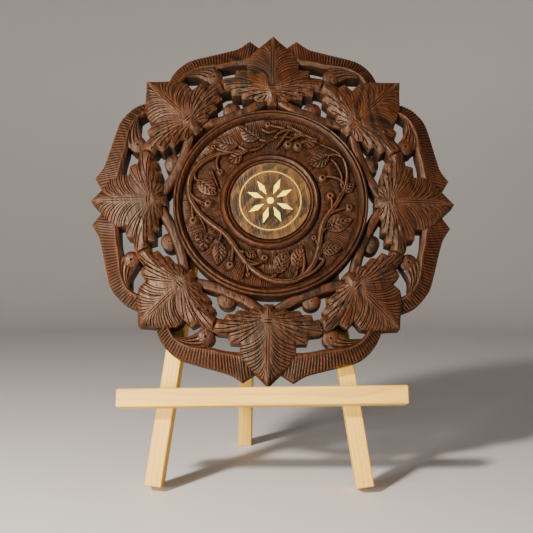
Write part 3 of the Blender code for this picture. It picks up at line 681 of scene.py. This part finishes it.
def kite_pocket():
    """The pocket for one brass kite, a little wider than it and longer at its sharp ends."""
    middle, wide, tip = (PETAL_IN + PETAL_OUT) / 2, PETAL_HALF + INLAY_GAP, INLAY_GAP * SHARP
    outline = [(0, PETAL_IN - tip), (wide, middle), (0, PETAL_OUT + tip), (-wide, middle)]
    return plate("pocket", outline, POCKET_LOW, CUT_HIGH)


def cutting_forms():
    """What is taken away: everything behind the back, and the inlay's pockets."""
    square = [(CUT_REACH * x, CUT_REACH * y) for x, y in ((-1, -1), (1, -1), (1, 1), (-1, 1))]
    yield plate("back", square, -CUT_BEHIND, 0)
    for degrees in PETAL_AT:
        yield rotated(kite_pocket(), radians(-degrees))
    inner, outer = RING_R - RING_W / 2 - INLAY_GAP, RING_R + RING_W / 2 + INLAY_GAP
    channel = [(outer, CUT_HIGH), (outer, POCKET_LOW), (inner, POCKET_LOW), (inner, CUT_HIGH)]
    yield turned("pocket", channel, RING_STEPS, True)
    dot = [polar(360 / DOT_STEPS * i, DOT_R + INLAY_GAP) for i in range(DOT_STEPS)]
    yield plate("pocket", dot, POCKET_LOW, CUT_HIGH)


def joined(body, operation, meshes):
    """The body with these meshes joined to it or cut from it."""
    tools = bpy.data.collections.new(operation.lower())
    for i, mesh in enumerate(meshes):
        tools.objects.link(bpy.data.objects.new(f"{operation.lower()}_{i}", mesh))
    obj = bpy.data.objects.new("working", body)
    bpy.context.scene.collection.objects.link(obj)
    modifier = obj.modifiers.new("cut", "BOOLEAN")
    modifier.operation, modifier.solver = operation, "MANIFOLD"
    modifier.operand_type, modifier.collection = "COLLECTION", tools
    bpy.context.view_layer.update()
    made = bpy.data.meshes.new_from_object(obj.evaluated_get(bpy.context.evaluated_depsgraph_get()))
    bpy.data.objects.remove(obj)
    for tool in list(tools.objects):
        bpy.data.objects.remove(tool)
    bpy.data.collections.remove(tools)
    return made


def read_points(items, field, width, kind=float):
    """A mesh's values as rows of this width."""
    values = np.empty(len(items) * width, kind)
    items.foreach_get(field, values)
    return values.reshape(-1, width)


def hand_worked(mesh):
    """Uneven tool work over the front, and how hollow the surface is at each point, for the finish."""
    count = len(mesh.vertices)
    co = read_points(mesh.vertices, "co", 3)
    wave = np.array([noise.noise(Vector((x / 7, y / 7, z / 9))) for x, y, z in co])
    fine = np.array([noise.noise(Vector((x / 2.1, y / 2.1, z / 5))) for x, y, z in co])
    worked = np.clip((co[:, 2] - 2) / 6, 0, 1)
    radius = np.hypot(co[:, 0], co[:, 1])
    turned_part = np.clip(abs(radius - MOULDING_R) / MOULDING_HALF, 0.1, 1)
    worked *= np.where(radius < FIELD_R, 0, turned_part)
    co[:, 2] = np.minimum(co[:, 2] + worked * (WORK_WAVE * wave + WORK_FINE * fine), WORK_TOP)
    mesh.vertices.foreach_set("co", co.ravel())
    a, b = read_points(mesh.edges, "vertices", 2, int).T
    normals = read_points(mesh.vertices, "normal", 3)
    edges_at = np.maximum(np.bincount(a, minlength=count) + np.bincount(b, minlength=count), 1)

    def mean_of_edges(at_a, at_b):
        """Each point's mean over its edges, of values given at their first and second ends."""
        return (np.bincount(a, at_a, count) + np.bincount(b, at_b, count)) / edges_at

    step = co[b] - co[a]
    size = np.maximum(np.linalg.norm(step, axis=1), 0.05)
    lean_a = np.einsum("ij,ij->i", normals[a], step) / size
    lean_b = -np.einsum("ij,ij->i", normals[b], step) / size
    hollow = mean_of_edges(lean_a, lean_b)
    hollow = 0.6 * hollow + 0.4 * mean_of_edges(hollow[b], hollow[a])
    basin = hollow
    for _ in range(5):
        basin = mean_of_edges(basin[b], basin[a])
    for name, values in (("hollow", hollow), ("basin", basin)):
        attribute = mesh.attributes.new(name, "FLOAT", "POINT")
        attribute.data.foreach_set("value", values.astype(np.float32))


def make_plaque():
    """The whole carved board as one closed mesh, which stands in for the plaque's solid."""
    mesh = joined(make_disc(), "UNION", carved_forms())
    mesh = joined(mesh, "DIFFERENCE", cutting_forms())
    hand_worked(mesh)
    mesh.transform(Matrix.Scale(MM, 4))
    mesh.shade_smooth()
    mesh.set_sharp_from_angle(angle=radians(SHARP_ANGLE))
    plaque = bpy.data.objects.new("carved_plaque_detail", mesh)
    plaque.matrix_world = BOARD
    bpy.context.scene.collection.objects.link(plaque)
    mesh.materials.clear()
    mesh.materials.append(carved_wood())
    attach(plaque, "root")
    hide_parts("carved_plaque")


class Nodes:
    """Short calls for a material's nodes."""

    def __init__(self, name):
        self.material = bpy.data.materials.new(name)
        self.material.use_nodes = True
        self.tree = self.material.node_tree
        self.shader = self.tree.nodes["Principled BSDF"]

    def new(self, kind, inputs=(), **settings):
        """A node with these inputs, each a value or another node's socket."""
        node = self.tree.nodes.new(kind)
        for key, value in settings.items():
            setattr(node, key, value)
        for key, value in dict(inputs).items():
            self.put(value, node.inputs[key])
        return node

    def put(self, value, socket):
        if isinstance(value, bpy.types.NodeSocket):
            self.tree.links.new(value, socket)
        else:
            socket.default_value = value

    def math(self, operation, a, b=0.0, c=0.0):
        return self.new("ShaderNodeMath", {0: a, 1: b, 2: c}, operation=operation).outputs[0]

    def mix(self, factor, a, b):
        node = self.new("ShaderNodeMix", data_type="RGBA")
        self.put(factor, node.inputs[0])
        self.put(a, node.inputs[6])
        self.put(b, node.inputs[7])
        return node.outputs[2]

    def span(self, value, low, high, to_low=0.0, to_high=1.0):
        """The value spread from one range to another, and held at both ends."""
        inputs = {0: value, 1: low, 2: high, 3: to_low, 4: to_high}
        return self.new("ShaderNodeMapRange", inputs, clamp=True).outputs[0]

    def noise(self, vector, scale, detail=3.0, rough=0.55, distortion=0.0):
        inputs = {"Vector": vector, "Scale": scale, "Detail": detail}
        inputs |= {"Roughness": rough, "Distortion": distortion}
        return self.new("ShaderNodeTexNoise", inputs).outputs[0]

    def less(self, a, b):
        return self.new("ShaderNodeVectorMath", {0: a, 1: b}, operation="SUBTRACT").outputs[0]

    def length(self, vector):
        return self.new("ShaderNodeVectorMath", {0: vector}, operation="LENGTH").outputs["Value"]

    def place(self, vector, scale=(1, 1, 1), turn=(0, 0, 0), shift=(0, 0, 0)):
        inputs = {"Vector": vector, "Scale": scale, "Rotation": turn, "Location": shift}
        return self.new("ShaderNodeMapping", inputs).outputs[0]

    def bump(self, height, strength, distance, normal=None):
        inputs = {"Height": height, "Strength": strength, "Distance": distance}
        node = self.new("ShaderNodeBump", inputs)
        if normal is not None:
            self.put(normal, node.inputs["Normal"])
        return node.outputs[0]


def rings(n, spot, pith, spacing, waviness):
    """Growth rings round a pith that runs along the second axis: 0 to 1 across each ring."""
    distance = n.length(n.place(n.less(spot, pith), (1, 0.05, 1)))
    drift = n.noise(n.place(spot, (1, 0.22, 1)), 22.0, 3.0, 0.55, 0.6)
    wavy = n.math("MULTIPLY_ADD", drift, waviness, distance)
    return n.math("FRACT", n.math("DIVIDE", wavy, spacing))


def field_wood(n, spot, late, pores):
    """The plain field round the inlay, where the wood is lighter and its figure bolder."""
    slant = n.place(spot, turn=(0, 0, radians(38)))
    flame = n.noise(n.place(slant, (1, 0.3, 1)), 105.0, 3.0, 0.55, 0.9)
    tan = n.mix(n.span(flame, 0.44, 0.56), FIELD_TAN, FIELD_FLAME)
    tan = n.mix(n.math("MULTIPLY", late, 0.6), tan, FIELD_RING)
    return n.mix(n.math("MULTIPLY", pores, 0.4), tan, FIELD_PORE)


def carved_wood():
    """Dark red-brown hardwood: bold dark rings, pores, painted shade in the hollows with some real stain,
    painted shade on the deep walls and sunk band ground, and ridges lightened by wear and painted
    highlight, under a waxed face.
    """
    n = Nodes("carved_rosewood")
    spot = n.new("ShaderNodeTexCoord").outputs["Object"]
    grain = n.place(spot, turn=(0, 0, radians(-14)))
    ring = rings(n, grain, (0.035, 0.0, -0.085), 0.0036, 0.024)
    late = n.span(ring, 0.3, 0.62)
    bold = n.span(n.noise(n.place(grain, (1, 0.35, 1)), 34.0, 2.0), 0.42, 0.66)
    stripe = n.math("MULTIPLY", late, n.math("MULTIPLY_ADD", bold, 0.55, 0.45))
    streak = n.noise(n.place(grain, (1, 0.07, 1)), 460.0, 3.0, 0.6)
    pores = n.span(n.noise(n.place(grain, (1, 0.1, 1)), 800.0, 2.0, 0.5), 0.57, 0.7)
    patch = n.noise(spot, 26.0, 3.0)
    red = n.mix(n.span(patch, 0.35, 0.65), WOOD_RED, WOOD_DEEP_RED)
    red = n.mix(n.span(streak, 0.3, 0.7, 0, 0.7), red, WOOD_STREAK)
    colour = n.mix(stripe, red, WOOD_RING)
    colour = n.mix(n.math("MULTIPLY", pores, 0.7), colour, WOOD_PORE)
    away = n.length(n.place(spot, (1, 1, 0)))
    height = n.new("ShaderNodeSeparateXYZ", {0: spot}).outputs[2]
    field = n.math("MULTIPLY", n.span(away, *FIELD_EDGE, 1, 0), n.span(height, *FRONT_FACE))
    colour = n.mix(field, colour, field_wood(n, spot, late, pores))
    # Painted shade down the deep walls of the openings, and painted shade with some real stain in the
    # hollows.
    turns = {"vector_type": "NORMAL", "convert_from": "WORLD", "convert_to": "OBJECT"}
    normal = n.new("ShaderNodeNewGeometry").outputs["Normal"]
    normal = n.new("ShaderNodeVectorTransform", {0: normal}, **turns).outputs[0]
    facing = n.math("ABSOLUTE", n.new("ShaderNodeSeparateXYZ", {0: normal}).outputs[2])
    # Painted shade: steep faces low in the openings are darkened.
    deep = n.math("MULTIPLY", n.span(height, *DEEP_WALL, 0, 0.96), n.span(facing, 0.5, 0.2))
    colour = n.mix(deep, colour, WALL_PAINTED_SHADE)
    hollow = n.new("ShaderNodeAttribute", attribute_name="hollow").outputs["Fac"]
    basin = n.new("ShaderNodeAttribute", attribute_name="basin").outputs["Fac"]
    # Painted shade with some real stain: darkest in fine creases and round the feet of raised forms.
    shade_and_dirt = n.math("MAXIMUM", n.span(hollow, 0.01, 0.2), n.span(basin, 0.0, 0.13))
    # The ridges are lightened: wear, and a painted highlight where they catch the light.
    wear_and_highlight = n.span(hollow, -0.05, -0.35)
    # Painted shade on the band's sunk ground between the raised forms.
    band = n.math("MULTIPLY", n.span(away, *BAND_INNER), n.span(away, *BAND_OUTER))
    ground = n.math("MULTIPLY", band, n.span(height, *GROUND_FACE))
    colour = n.mix(n.math("MULTIPLY", ground, 0.3), colour, BAND_GROUND_SHADE)
    colour = n.mix(n.math("MULTIPLY", shade_and_dirt, 0.94), colour, HOLLOW_SHADE_AND_DIRT)
    colour = n.mix(n.math("MULTIPLY", wear_and_highlight, 0.36), colour, WOOD_WEAR_AND_HIGHLIGHT)
    n.put(colour, n.shader.inputs["Base Color"])
    # The wax shines least where the surface is hollow or deep.
    rough = n.math("ADD", n.span(patch, 0.35, 0.65, 0.3, 0.48), n.span(streak, 0.35, 0.65, 0, 0.16))
    rough = n.math("ADD", rough, n.math("MULTIPLY", shade_and_dirt, 0.25))
    n.put(rough, n.shader.inputs["Roughness"])
    dull = n.math("MAXIMUM", shade_and_dirt, deep)
    n.put(n.span(dull, 0, 1, 0.28, 0.05), n.shader.inputs["Specular IOR Level"])
    n.shader.inputs["Specular Tint"].default_value = (1, 0.8, 0.62, 1)
    fine = n.bump(streak, 0.7, 0.0004)
    n.put(n.bump(n.math("SUBTRACT", 1.0, pores), 0.35, 0.00025, fine), n.shader.inputs["Normal"])
    return n.material


def brass(name, colour, dull):
    """Hand-cut brass, rubbed flush: fine scratches and slightly uneven tarnish."""
    n = Nodes(name)
    spot = n.new("ShaderNodeTexCoord").outputs["Object"]
    rubbed = n.noise(n.place(spot, (1, 1, 8), (0, 0, radians(30))), 900.0, 2.0, 0.6)
    tarnish = n.noise(spot, 160.0, 3.0)
    darker = tuple(0.78 * c for c in colour[:3]) + (1,)
    n.put(n.mix(n.span(tarnish, 0.45, 0.75), colour, darker), n.shader.inputs["Base Color"])
    n.put(n.span(rubbed, 0.3, 0.7, dull, dull + 0.16), n.shader.inputs["Roughness"])
    n.put(n.bump(rubbed, 0.2, 0.0001), n.shader.inputs["Normal"])
    n.shader.inputs["Metallic"].default_value = 0.4
    return n.material


def slat_axis(obj):
    """The way a slat runs, from its own mesh, and its middle."""
    co = np.array([v.co[:] for v in obj.data.vertices])
    middle = (co.min(axis=0) + co.max(axis=0)) / 2
    along = np.linalg.svd(co - co.mean(axis=0), full_matrices=False)[2][0]
    return Vector(along), Vector(middle)


def pine(name, obj, seed):
    """Bare pale softwood: rings along the slat, fine fibres and a few pinkish streaks."""
    along, middle = slat_axis(obj)
    turn = along.rotation_difference(Vector((0, 1, 0))).to_euler()
    n = Nodes(name)
    spot = n.new("ShaderNodeTexCoord").outputs["Object"]
    local = n.place(n.less(spot, middle), turn=turn)
    ring = rings(n, local, (0.03 + 0.004 * seed, 0, 0.018 - 0.007 * seed), 0.0034, 0.011)
    late = n.span(ring, 0.5, 0.97)
    fibre = n.noise(n.place(local, (1, 0.03, 1)), 1400.0, 3.0, 0.6)
    cloud = n.noise(n.place(local, (1, 0.2, 1), shift=(0.1 * seed, 0, 0)), 45.0, 2.0)
    colour = n.mix(n.span(cloud, 0.35, 0.68), PINE_PALE, PINE_WARM)
    colour = n.mix(n.math("MULTIPLY", late, 0.45), colour, PINE_RING)
    colour = n.mix(n.span(fibre, 0.42, 0.75, 0, 0.35), colour, PINE_FIBRE)
    streak = n.noise(n.place(local, (1, 0.12, 1), shift=(0.3, 0.07 * seed, 0)), 60.0, 2.0)
    streak = n.math("MULTIPLY", n.span(streak, 0.66, 0.78), 0.4)
    colour = n.mix(streak, colour, PINE_STREAK)
    n.put(colour, n.shader.inputs["Base Color"])
    n.put(n.span(fibre, 0.3, 0.7, 0.5, 0.68), n.shader.inputs["Roughness"])
    n.put(n.bump(fibre, 0.3, 0.00015), n.shader.inputs["Normal"])
    return n.material


def eased(obj, width, angle):
    """Rounds a CAD node's sharp edges a little."""
    bevel = obj.modifiers.new("eased", "BEVEL")
    bevel.width = width * MM
    bevel.segments = 2
    bevel.angle_limit = radians(angle)


def dress_nodes():
    """The brass and the easel keep their own solids, and get their materials and eased edges."""
    petal = brass("brass_petal", PETAL_BRASS, 0.3)
    ring = brass("brass_wire", WIRE_BRASS, 0.34)
    seed = 0
    for name, obj in frame["nodes"].items():
        if name.startswith("brass"):
            obj.data.materials.clear()
            obj.data.materials.append(ring if name == "brass_ring" else petal)
            eased(obj, 0.12, 40)
        elif name.startswith("easel"):
            obj.data.materials.clear()
            obj.data.materials.append(pine(name + "_pine", obj, seed))
            eased(obj, 0.25, 25)
            seed += 1


def make_camera():
    """A level camera at the photograph's place, turned as it was."""
    data = bpy.data.cameras.new("photo_view")
    data.sensor_width = SENSOR
    data.lens = SENSOR * FOCAL_PX / FRAME_PX
    camera = bpy.data.objects.new("photo_view", data)
    bpy.context.scene.collection.objects.link(camera)
    turn = Matrix.Rotation(VIEW_YAW, 3, "Z")
    camera.location = ORIGIN + OUT * VIEWED_W * MM - turn @ CENTRE_FROM_CAMERA
    camera.rotation_euler = (pi / 2, 0, VIEW_YAW)
    bpy.context.scene.camera = camera


def make_floor():
    """A plain pale round floor that curves up into a wall on every side."""
    flat, bend, rise, steps = 1.7, 0.9, 3.2, 96
    line = [(flat + bend * sin(a), bend * (1 - cos(a))) for a in np.linspace(0, pi / 2, 16)]
    line.append((flat + bend, rise))
    turns = np.arange(steps) * 2 * pi / steps
    verts = [(r * cos(a), r * sin(a), z) for r, z in line for a in turns]
    faces = [list(range(steps))]
    for i in range(len(line) - 1):
        for j in range(steps):
            a, b = i * steps + j, i * steps + (j + 1) % steps
            faces.append((a, a + steps, b + steps, b))
    mesh = bpy.data.meshes.new("floor")
    mesh.from_pydata(verts, [], faces)
    mesh.shade_smooth()
    floor = bpy.data.objects.new("floor", mesh)
    bpy.context.scene.collection.objects.link(floor)
    n = Nodes("pale_floor")
    n.shader.inputs["Base Color"].default_value = FLOOR_GREY
    n.shader.inputs["Roughness"].default_value = 0.55
    mesh.materials.append(n.material)


def light_scene():
    """Three soft lights that point at the plaque, and a faint even light from all round."""
    for name, (place, size, power, colour) in LIGHTS.items():
        data = bpy.data.lights.new(name, "AREA")
        data.energy, data.size, data.color = power, size, colour
        light = bpy.data.objects.new(name, data)
        bpy.context.scene.collection.objects.link(light)
        light.location = place
        light.rotation_euler = (Vector(LIT_POINT) - light.location).to_track_quat("-Z", "Y").to_euler()
    world = bpy.data.worlds.new("studio")
    bpy.context.scene.world = world
    world.use_nodes = True
    background = world.node_tree.nodes["Background"]
    background.inputs[0].default_value = WORLD_COLOUR
    background.inputs[1].default_value = WORLD_STRENGTH


make_camera()
make_floor()
light_scene()
make_plaque()
dress_nodes()
